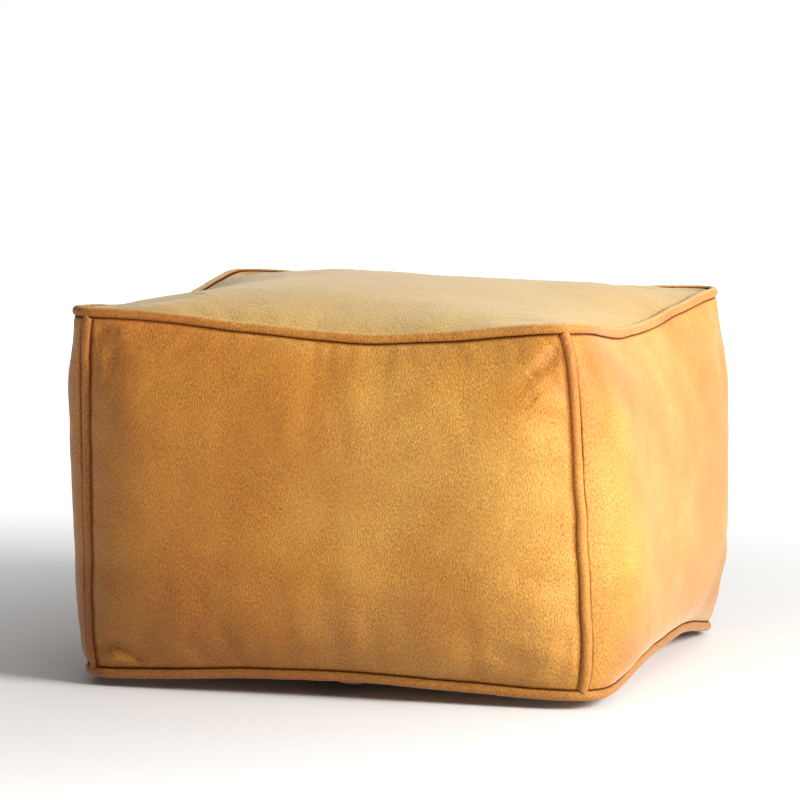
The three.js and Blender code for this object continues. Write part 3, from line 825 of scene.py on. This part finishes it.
def upright_piping(name, k):
    """The piping and the cord of an upright seam."""
    low, high = meeting("bottom", k), meeting("top", k)
    share = np.linspace(0, 1, int((TOP_Z - BOTTOM_Z) / RING_STEP))[:, None]
    outward = np.array((*CORNER_SIGNS[k], 0)) / math.sqrt(2)
    path = low * (1 - share) + high * share
    wander = 1.2 * MM * noise(80 * MM, 440 + k, path[:, 2])[:, None] * 4 * share * (1 - share)
    path = path + upright_bow(k, 2 * share[:, 0] - 1) + wander * outward
    way, across = framed(path, lambda along: np.tile(-outward, (len(along), 1)), False)
    rings, crest = piping_points(path, way, across, 450 + 10 * k)
    cover = piping_object(name, shortened(rings, low, high), crest, False)
    clear = slice(5, -5)
    return cover, twisted_cord(name + "_twist", path[clear], way[clear], across[clear], False)


made = {
    "top_piping": loop_piping("top_piping", "top", -1, 400),
    "bottom_piping": loop_piping("bottom_piping", "bottom", 1, 410),
}
for k, corner_name in enumerate(("front_left", "front_right", "back_right", "back_left")):
    name = corner_name + "_piping"
    made[name] = upright_piping(name, k)
piping_pieces = {name + "_cover": cover for name, (cover, _) in made.items()}
cord_pieces = {name + "_cord": cord for name, (_, cord) in made.items()}


# ---- bag and filling
BOX_CELLS = 90


def closed_box(line, crown, depth, floor):
    """A closed surface inside the six panels: its points and faces."""
    s = stations(BOX_CELLS + 1)
    grids = [side_grid(k, s, s, line, depth) for k in range(4)]
    grids.append(top_grid(s, s, line, crown))
    grids.append(underside_grid(s, s, line, floor, BAG_VALLEY))
    i, j = np.meshgrid(np.arange(BOX_CELLS + 1), np.arange(BOX_CELLS + 1), indexing="ij")
    low, high = 0 * i, 0 * i + BOX_CELLS
    places = (
        (i, low, j),
        (high, i, j),
        (BOX_CELLS - i, high, j),
        (low, BOX_CELLS - i, j),
        (i, j, high),
        (i, j, low),
    )
    keys = np.concatenate([np.stack(place, -1).reshape(-1, 3) for place in places])
    found, index = np.unique(keys, axis=0, return_inverse=True)
    index = index.ravel()
    total = np.zeros((len(found), 3))
    np.add.at(total, index, np.concatenate([grid.reshape(-1, 3) for grid in grids]))
    total /= np.bincount(index)[:, None]
    faces = []
    for number in range(6):
        quads = grid_faces(BOX_CELLS + 1, BOX_CELLS + 1) + number * (BOX_CELLS + 1) ** 2
        if number == 5:
            quads = quads[:, ::-1]
        faces.append(index[quads])
    return total, np.concatenate(faces)


def point_normals(points, faces):
    p = points[faces]
    normals = np.cross(p[:, 2] - p[:, 0], p[:, 3] - p[:, 1])
    total = np.zeros(points.shape)
    for column in range(4):
        np.add.at(total, faces[:, column], normals)
    return total / np.linalg.norm(total, axis=1, keepdims=True)


def lumpy_box(line, depth, floor, seed, waves):
    """A closed box with a lumpy surface, its faces, and the way out at each point. Each wave
    is a height and a length, in mm."""
    points, faces = closed_box(line, CROWN_Z - depth, depth, floor)
    normals = point_normals(points, faces)
    lumps = 0
    for number, (height, length) in enumerate(waves):
        lumps = lumps + height * noise(length * MM, seed + number, *points.T)
    return points + (lumps * MM)[:, None] * normals, faces, normals


BAG_VALLEY = 13 * MM  # how far the bag and filling lift over the zip
BAG_CLOTH = 1.0 * MM
outer, faces, normals = lumpy_box(BAG_LINE, 8 * MM, 4 * MM, 500, ((0.7, 60), (0.3, 18)))
both = np.concatenate((outer, outer - BAG_CLOTH * normals))
bag = make_object("calico_bag", both, np.concatenate((faces, faces[:, ::-1] + len(outer))))
points, faces, _ = lumpy_box(FILL_LINE, 12 * MM, 7 * MM, 510, ((1.3, 45), (0.6, 16)))
filling = make_object("fibre_filling", points, faces)

# ---- zip
TAPE_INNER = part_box("zip_tape_right")[0].x
TAPE_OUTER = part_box("zip_tape_right")[1].x
TAPE_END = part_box("zip_tape_right")[1].y
TAPE_HALF = 0.4 * MM
BEAD_HALF = 0.62 * MM  # half the thickness of the bead along the tape's inner edge
TOOTH_PITCH = 2.6 * MM
TOOTH_HALF = 0.56 * MM
TEETH_LOW, TEETH_HIGH = (v.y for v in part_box("zip_teeth_right"))
LEVEL_TAPE = 222 * MM  # the tapes are level this far from the middle
PART_MIDDLE = (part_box("zip_slider")[0].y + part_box("zip_slider")[1].y) / 2
PART_RUN = 3 * MM  # the rows part over this much either side of the slider's middle
PARTED_BY = 1.6 * MM


def parted(y):
    """How far a tooth row stands aside at y, for the slider's wedge."""
    share = np.clip((y - PART_MIDDLE + PART_RUN) / (2 * PART_RUN), 0, 1)
    return PARTED_BY * share * share * (3 - 2 * share)


def tape(sign):
    """A woven tape with a beaded inner edge, following the leather up at its ends."""
    y = np.linspace(-TAPE_END, TAPE_END, 310)
    z = np.maximum(ZIP_Z, underside_z(sign * ZIP_EDGE, y) + LEATHER + 0.9 * MM)
    z[np.abs(y) < LEVEL_TAPE] = ZIP_Z
    x = TAPE_INNER + (TAPE_OUTER - TAPE_INNER) * np.linspace(0, 1, 25)
    half = TAPE_HALF + (BEAD_HALF - TAPE_HALF) * bump(x - TAPE_INNER - 0.8 * MM, 0.8 * MM)
    half[0] = 0.3 * MM
    section_x = np.concatenate((x, x[::-1]))
    section_z = np.concatenate((half, -half[::-1]))
    rings = np.empty((len(y), len(section_x), 3))
    inwardness = (TAPE_OUTER - section_x) / (TAPE_OUTER - TAPE_INNER)
    rings[..., 0] = sign * (section_x + parted(y)[:, None] * inwardness)
    rings[..., 1] = y[:, None]
    rings[..., 2] = z[:, None] + section_z
    return tube(rings, False)


# Half a tooth's outline, out from the zip's middle and up, in mm.
TOOTH = np.array(
    [(-0.5, 0.75), (-0.25, 1.25), (0.3, 1.5), (3.15, 1.5), (3.55, 1.15), (3.55, 0.72), (2.1, 0.72)]
)


def tooth(sign, y):
    outline = np.concatenate((TOOTH, TOOTH[::-1] * (1, -1))) * MM
    middle = outline.mean(0)
    rings = []
    for shift, size in ((-1, 0.86), (-0.75, 1), (0.75, 1), (1, 0.86)):
        place = middle + (outline - middle) * size if size < 1 else outline
        x = sign * (place[:, 0] + parted(y))
        ring = np.stack((x, np.full(len(x), y + shift * TOOTH_HALF), ZIP_Z + place[:, 1]), 1)
        rings.append(ring)
    return tube(np.array(rings), False)


def tooth_row(sign):
    start = TEETH_LOW + TOOTH_HALF + (TOOTH_PITCH / 2 if sign > 0 else 0)
    count = int((TEETH_HIGH - TOOTH_HALF - start) / TOOTH_PITCH)
    return [tooth(sign, start + number * TOOTH_PITCH) for number in range(count + 1)]


def bevelled(name, node, width):
    """The CAD solid with its edges rounded off."""
    shape = bmesh.new()
    shape.from_mesh(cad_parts[node].data)
    bmesh.ops.remove_doubles(shape, verts=shape.verts, dist=1e-6)
    bmesh.ops.dissolve_limit(shape, angle_limit=math.radians(2), verts=shape.verts, edges=shape.edges)
    solid_edges = [edge for edge in shape.edges if edge.is_manifold]
    sharp = [edge for edge in solid_edges if edge.calc_face_angle() > math.radians(35)]
    settings = {"segments": 2, "profile": 0.6, "affect": "EDGES", "clamp_overlap": True}
    bmesh.ops.bevel(shape, geom=sharp, offset=width, **settings)
    mesh = bpy.data.meshes.new(name)
    shape.to_mesh(mesh)
    shape.free()
    return add_object(name, mesh)


zip_pieces = {}
for sign, side in ((-1, "left"), (1, "right")):
    zip_pieces["zip_tape_" + side] = joined_object("tape_" + side, [tape(sign)])
    zip_pieces["zip_teeth_" + side] = joined_object("teeth_" + side, tooth_row(sign))
    zip_pieces["zip_top_stop_" + side] = bevelled("top_stop_" + side, "zip_top_stop_" + side, 0.25 * MM)
zip_pieces["zip_bottom_stop"] = bevelled("bottom_stop", "zip_bottom_stop", 0.3 * MM)
zip_pieces["zip_slider"] = bevelled("slider", "zip_slider", 0.22 * MM)
zip_pieces["zip_pull"] = bevelled("pull", "zip_pull", 0.25 * MM)

STITCH = 3.4 * MM  # the length of one stitch
STITCH_STEP = 4.4 * MM
STITCH_R = 0.36 * MM


def stitch(x, middle):
    """One stitch of the row beside the zip, lying on the leather and thinner at its ends."""
    y = middle + STITCH / 2 * np.array((-1, -0.8, 0, 0.8, 1))
    radius = STITCH_R * np.array((0.3, 0.9, 1, 0.9, 0.3))
    z = underside_z(x, y) - STITCH_R / 3
    angles = np.linspace(0, 2 * math.pi, 8)[:-1]
    rings = np.empty((len(y), len(angles), 3))
    rings[..., 0] = x + radius[:, None] * np.cos(angles)
    rings[..., 1] = y[:, None]
    rings[..., 2] = z[:, None] + radius[:, None] * np.sin(angles)
    return tube(rings, False)


parts = []
for sign in (-1, 1):
    for number in range(int(2 * TAPE_END / STITCH_STEP)):
        middle = -TAPE_END + (number + 0.5) * STITCH_STEP
        parts.append(stitch(sign * (ZIP_EDGE + 3 * MM), middle))
topstitch = joined_object("zip_topstitch", parts)


# ---- materials
def feed(tree, node, inputs):
    """Sets a node's inputs. Each is a value, or a socket to link from."""
    for name, value in inputs.items():
        if isinstance(value, bpy.types.NodeSocket):
            tree.links.new(value, node.inputs[name])
        else:
            node.inputs[name].default_value = value


def add(tree, kind, inputs=None, **settings):
    """One shader node, with its inputs fed."""
    node = tree.nodes.new("ShaderNode" + kind)
    for name, value in settings.items():
        setattr(node, name, value)
    feed(tree, node, inputs or {})
    return node


def cleared_tree(owner):
    owner.use_nodes = True
    owner.node_tree.nodes.clear()
    return owner.node_tree


def new_material(name):
    """An empty material: the material, its tree, and where its points lie, in metres."""
    material = bpy.data.materials.new(name)
    tree = cleared_tree(material)
    return material, tree, add(tree, "TexCoord").outputs["Object"]


def surface(tree, inputs):
    """The material's one shader, fed with its colour, roughness and the rest."""
    shader = add(tree, "BsdfPrincipled", inputs)
    add(tree, "OutputMaterial", {"Surface": shader.outputs[0]})


def colour(red, green, blue):
    """A linear colour from the usual 0 to 255 numbers."""
    def linear(value):
        value /= 255
        return value / 12.92 if value < 0.04045 else ((value + 0.055) / 1.055) ** 2.4
    return (linear(red), linear(green), linear(blue), 1)


def factor(node):
    return node.outputs["Factor" if "Factor" in node.outputs else "Fac"]


def noise_of(tree, vector, scale, detail=2, rough=0.5):
    inputs = {"Vector": vector, "Scale": scale, "Detail": detail, "Roughness": rough}
    return factor(add(tree, "TexNoise", inputs))


def scaled(tree, value, low, high, to_low, to_high):
    inputs = {"Value": value, "From Min": low, "From Max": high, "To Min": to_low, "To Max": to_high}
    return add(tree, "MapRange", inputs).outputs["Result"]


def maths(tree, operation, first, second=0.0):
    return add(tree, "Math", {0: first, 1: second}, operation=operation).outputs[0]


def mixed(tree, share, first, second):
    return add(tree, "Mix", {0: share, 2: first, 3: second}).outputs[0]


def blended(tree, share, first, second, way="MIX"):
    made = add(tree, "Mix", {0: share, 6: first, 7: second}, data_type="RGBA", blend_type=way)
    return made.outputs[2]


def grey(tree, value):
    return add(tree, "CombineColor", {0: value, 1: value, 2: value}).outputs[0]


def bumped(tree, height, distance, strength):
    """The surface's normal, tilted by a height that spans the given distance."""
    inputs = {"Height": height, "Distance": distance, "Strength": strength}
    return add(tree, "Bump", inputs).outputs[0]


# How fine each part of the leather's pattern is, by its noise's scale.
CLOUDS, PATCHES, RED_PATCHES = 12, 4.5, 7.3
PEBBLES, STROKES, GRAIN = 170, 880, 900
STROKE_SLANTS = (0.12, -0.5)  # the nap is brushed two ways, in patches
STROKE_STRETCH = 0.42
PAINTED_TOP_SHEEN = (206, 184, 110)  # painted sheen: the pale colour the leather is painted where it faces up, for the grazing sheen on the top
PAINTED_CREASE_SHADE = (0.3, 0.17, 0.08, 1)
WHITE = (1, 1, 1, 1)
SOILED_AND_SHADED_Z = (0.01, 0.13)  # the leather is darker and redder below this height, as painted shade and soiling, and plain by that one


def cloudy_base(tree, place, facing_up, height, dark, middle, light, red):
    """The leather's colour: cloudy, painted lighter from left to right for the lamp on the right,
    redder towards the floor, and painted pale where it faces up for its sheen.
    """
    clouds = noise_of(tree, place, CLOUDS, 5, 0.62)
    tone = mixed(tree, 0.4, clouds, noise_of(tree, place, PATCHES, 1))
    across = add(tree, "SeparateXYZ", {0: place}).outputs[0]
    # painted light: the tone runs from darker on the left to lighter on the right, where the lamp is,
    # and is taken down on the right side as painted shade
    painted_light_gradient = scaled(tree, across, -0.24, 0.19, -0.3, 0.3)
    painted_light_gradient = maths(tree, "SUBTRACT", painted_light_gradient, scaled(tree, across, 0.2, 0.245, 0, 0.12))
    tone = maths(tree, "ADD", scaled(tree, tone, 0.28, 0.72, 0, 1), painted_light_gradient)
    ramp = add(tree, "ValToRGB", {"Fac": tone})
    ramp.color_ramp.elements[0].color = dark
    ramp.color_ramp.elements[1].color = light
    ramp.color_ramp.elements.new(0.5).color = middle
    reddish = scaled(tree, noise_of(tree, place, RED_PATCHES, 3), 0.5, 0.75, 0, 0.35)
    # redder towards the floor, as soiling
    reddish = maths(tree, "ADD", reddish, scaled(tree, height, *SOILED_AND_SHADED_Z, 0.3, 0))
    base = blended(tree, reddish, ramp.outputs["Color"], red)
    # painted sheen: the leather is paled where it faces up
    painted_top_sheen = scaled(tree, facing_up, 0.55, 0.95, 0, 0.45)
    return blended(tree, painted_top_sheen, base, colour(*PAINTED_TOP_SHEEN))


def brushed_nap(tree, place, cut):
    """Fine strokes, brushed two ways."""
    strokes = []
    for slant in STROKE_SLANTS:
        settings = {"Vector": cut, "Rotation": (0, 0, slant), "Scale": (1, STROKE_STRETCH, 1)}
        strokes.append(noise_of(tree, add(tree, "Mapping", settings).outputs[0], STROKES, 0))
    return mixed(tree, scaled(tree, noise_of(tree, place, 14), 0.45, 0.6, 0, 1), *strokes)


def leather(name, dark, middle, light, red, sheen):
    """Brushed, cloudy leather with a fine grain, with painted shade in its creases."""
    material, tree, place = new_material(name)
    cut = add(tree, "UVMap", uv_map="cut").outputs["UV"]
    near = add(tree, "Attribute", attribute_name="near_seam").outputs["Fac"]
    folded = add(tree, "Attribute", attribute_name="folded").outputs["Fac"]
    facing_up = add(tree, "SeparateXYZ", {0: add(tree, "NewGeometry").outputs["Normal"]}).outputs[2]
    height = add(tree, "SeparateXYZ", {0: place}).outputs[2]
    base = cloudy_base(tree, place, facing_up, height, dark, middle, light, red)

    grain = noise_of(tree, place, GRAIN, 1, 0.6)
    fine = mixed(tree, 0.6, grain, brushed_nap(tree, place, cut))
    shade = maths(tree, "ADD", scaled(tree, fine, 0.34, 0.66, -0.32, 0.32), 1)
    # painted light and shade: fold ridges lighter as wear and light, hollows darker as painted shade
    shade = maths(tree, "MULTIPLY", shade, scaled(tree, folded, -1, 1, 0.86, 1.12))
    # painted shade and soiling: darker towards the floor
    shade = maths(tree, "MULTIPLY", shade, scaled(tree, height, *SOILED_AND_SHADED_Z, 0.86, 1))
    base = blended(tree, 1.0, base, grey(tree, shade), "MULTIPLY")
    # painted shade in the creases beside the seams, where the gloss and sheen are also taken away
    crease = scaled(tree, near, 0.0005, 0.0035, 0, 1)
    base = blended(tree, 1.0, base, blended(tree, crease, PAINTED_CREASE_SHADE, WHITE), "MULTIPLY")

    pebbles = maths(tree, "MULTIPLY", noise_of(tree, place, PEBBLES), 0.7)
    surface(tree, {
        "Base Color": base,
        "Roughness": scaled(tree, grain, 0.3, 0.7, 0.5, 0.64),
        "Normal": bumped(tree, maths(tree, "ADD", pebbles, fine), 0.8 * MM, 0.8),
        "Specular IOR Level": maths(tree, "MULTIPLY", crease, 0.32),
        "Sheen Weight": maths(tree, "MULTIPLY", crease, sheen),
        "Sheen Roughness": 0.45,
        "Sheen Tint": (1, 0.95, 0.8, 1),
    })
    return material


def fibrous(name, base, dark, scale, fluff):
    """Plain fibre or cloth, with soft irregular threads."""
    material, tree, place = new_material(name)
    fine = noise_of(tree, place, scale, 4, 0.6)
    surface(tree, {
        "Base Color": blended(tree, fine, dark, base),
        "Normal": bumped(tree, fine, fluff, 0.8),
        "Roughness": 0.9,
        "Sheen Weight": 0.3,
    })
    return material


def woven(name, base, dark, pitch):
    """Plain weave, its threads running along X and Y."""
    material, tree, place = new_material(name)
    bands = {"Vector": place, "Scale": 2 * math.pi / (20 * pitch), "Distortion": 0.6, "Detail": 1}
    waves = [factor(add(tree, "TexWave", bands, bands_direction=way)) for way in ("X", "Y")]
    threads = maths(tree, "MAXIMUM", *waves)
    uneven = scaled(tree, noise_of(tree, place, 300, 3), 0.3, 0.7, 0.75, 1)
    threads = maths(tree, "MULTIPLY", threads, uneven)
    surface(tree, {
        "Base Color": blended(tree, threads, dark, base),
        "Normal": bumped(tree, threads, pitch / 4, 0.7),
        "Roughness": 0.85,
    })
    return material


def antique_metal(name, base, dark):
    """Worn metal, darkened unevenly."""
    material, tree, place = new_material(name)
    tarnish = scaled(tree, noise_of(tree, place, 260, 4, 0.65), 0.42, 0.68, 0, 1)
    surface(tree, {
        "Base Color": blended(tree, tarnish, base, dark),
        "Roughness": scaled(tree, tarnish, 0, 1, 0.3, 0.55),
        "Normal": bumped(tree, noise_of(tree, place, 2600), 0.05 * MM, 0.4),
        "Metallic": 1,
    })
    return material


# Dark, middle, light and reddish leather, for the panels and for the pipings.
TAN = (colour(160, 94, 24), colour(178, 117, 38), colour(194, 142, 62), colour(160, 92, 34))
PIPING_TAN = (colour(142, 82, 26), colour(164, 104, 36), colour(180, 126, 52), colour(146, 80, 32))

finishes = {
    "leather": leather("tan_leather", *TAN, 0.3),
    "piping_leather": leather("piping_leather", *PIPING_TAN, 0.2),
    "cotton_cord": fibrous("cotton_thread", colour(228, 214, 184), colour(180, 160, 122), 900, 0.0004),
    "calico": woven("calico_cloth", colour(226, 214, 190), colour(186, 170, 140), 0.9 * MM),
    "fibre": fibrous("filling_fibre", colour(240, 238, 232), colour(196, 192, 184), 220, 0.003),
    "zip_tape": woven("zip_tape_cloth", colour(140, 98, 56), colour(82, 54, 30), 0.7 * MM),
    "zip_metal": antique_metal("antique_brass", (0.46, 0.33, 0.15, 1), (0.12, 0.085, 0.045, 1)),
}


def finish(obj, body, slot_name, node=None):
    """Puts a piece on its body, in its material and in the place of its CAD node."""
    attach(obj, body)
    if node:
        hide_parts(node)
    obj.data.materials.clear()
    obj.data.materials.append(finishes[slot_name])


for node, obj in leather_pieces.items():
    finish(obj, "cover", "leather", node)
for node, obj in piping_pieces.items():
    finish(obj, "cover", "piping_leather", node)
for node, obj in cord_pieces.items():
    finish(obj, "cover", "cotton_cord", node)
for obj, node, slot_name in ((bag, "inner_bag", "calico"), (filling, "filling", "fibre")):
    finish(obj, "cover", slot_name, node)
finish(topstitch, "cover", "cotton_cord")

ZIP_BODIES = {"zip_slider": "zip_slider", "zip_pull": "zip_pull"}
for node, obj in zip_pieces.items():
    slot_name = "zip_tape" if node.startswith("zip_tape") else "zip_metal"
    finish(obj, ZIP_BODIES.get(node, "cover"), slot_name, node)
for side, sign in (("left", -1), ("right", 1)):
    for kind in ("tape", "teeth"):
        piece = zip_pieces["zip_" + kind + "_" + side]
        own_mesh(piece)

# ---- stage, light and camera
bpy.context.scene.view_settings.view_transform = "Standard"

FLOOR_Z = -0.6 * MM
FLOOR_RINGS = (0.1, 0.7, 2, 10, 60)
turns = np.linspace(0, 2 * math.pi, 97)[:-1]
circles = [[(r * math.cos(t), r * math.sin(t), FLOOR_Z) for t in turns] for r in FLOOR_RINGS]
points, faces = tube(np.array(circles), False)
floor = make_object("floor", points, faces[:-1])


def pale_floor():
    """A matt pale floor, painted darker near the pouf as contact shade, which glows brighter away from
    the pouf to plain white.
    """
    material, tree, place = new_material("pale_floor")
    reach = add(tree, "VectorMath", {0: place}, operation="LENGTH").outputs["Value"]
    # painted contact shade: the floor's colour is darker near the pouf
    tone = scaled(tree, reach, 0.4, 1.8, 0.75, 0.86)
    tone = maths(tree, "ADD", tone, scaled(tree, noise_of(tree, place, 3), 0, 1, -0.01, 0.01))
    span = {"Value": reach, "From Min": 0.1, "From Max": 2.4, "To Min": 0, "To Max": 1}
    glow = add(tree, "MapRange", span, interpolation_type="SMOOTHSTEP")
    surface(tree, {
        "Base Color": grey(tree, tone),
        "Emission Color": WHITE,
        "Emission Strength": glow.outputs["Result"],
        "Roughness": 1,
        "Specular IOR Level": 0,
    })
    return material


def studio_world():
    """A white band along the horizon, a soft light overhead and a weak one from the right."""
    world = bpy.data.worlds.new("studio")
    tree = cleared_tree(world)
    way = add(tree, "TexCoord").outputs["Generated"]
    across, _, up = add(tree, "SeparateXYZ", {"Vector": way}).outputs
    band = scaled(tree, up, 0.05, 0.13, 1, 0)
    fill = scaled(tree, across, -0.5, 0.9, 0, 0.22)
    fill = maths(tree, "ADD", fill, scaled(tree, up, 0.5, 1, 0, 0.6))
    sky = mixed(tree, band, fill, 1.0)
    background = add(tree, "Background", {"Color": WHITE, "Strength": sky})
    add(tree, "OutputWorld", {"Surface": background.outputs[0]})
    return world


floor.data.materials.append(pale_floor())
bpy.context.scene.world = studio_world()
AIM = Vector((0, 0, 0.170))


def lamp(name, kind, place, strength, width, tint):
    """A lamp that shines from its place onto the object: its width is a disk's, or the sun's
    in radians."""
    data = bpy.data.lights.new(name, kind)
    data.energy = strength
    data.color = tint
    if kind == "AREA":
        data.shape = "DISK"
        data.size = width
    else:
        data.angle = width
    obj = add_object(name, data)
    obj.location = place
    obj.rotation_euler = (Vector(place) - AIM).to_track_quat("Z", "Y").to_euler()


lamp("key", "AREA", (2.1, -0.85, 1.05), 104, 1.0, (1, 0.98, 0.95))
lamp("back", "SUN", (0.25, 2.25, 1.17), 0.6, math.radians(40), (0.97, 1, 0.97))

YAW = math.radians(17.2)
PITCH = math.radians(5.23)
DISTANCE = 3.533
ASIDE, ABOVE = -0.0056, 0.0698  # how far the camera's axis passes from where it aims
back = Vector((math.sin(YAW) * math.cos(PITCH), -math.cos(YAW) * math.cos(PITCH), math.sin(PITCH)))
right = Vector((math.cos(YAW), math.sin(YAW), 0))
camera_data = bpy.data.cameras.new("camera")
camera_data.lens = 171
camera_data.sensor_width = 36
camera = add_object("camera", camera_data)
camera.location = AIM + back * DISTANCE + right * ASIDE + back.cross(right) * ABOVE
camera.rotation_euler = back.to_track_quat("Z", "Y").to_euler()
bpy.context.scene.camera = camera
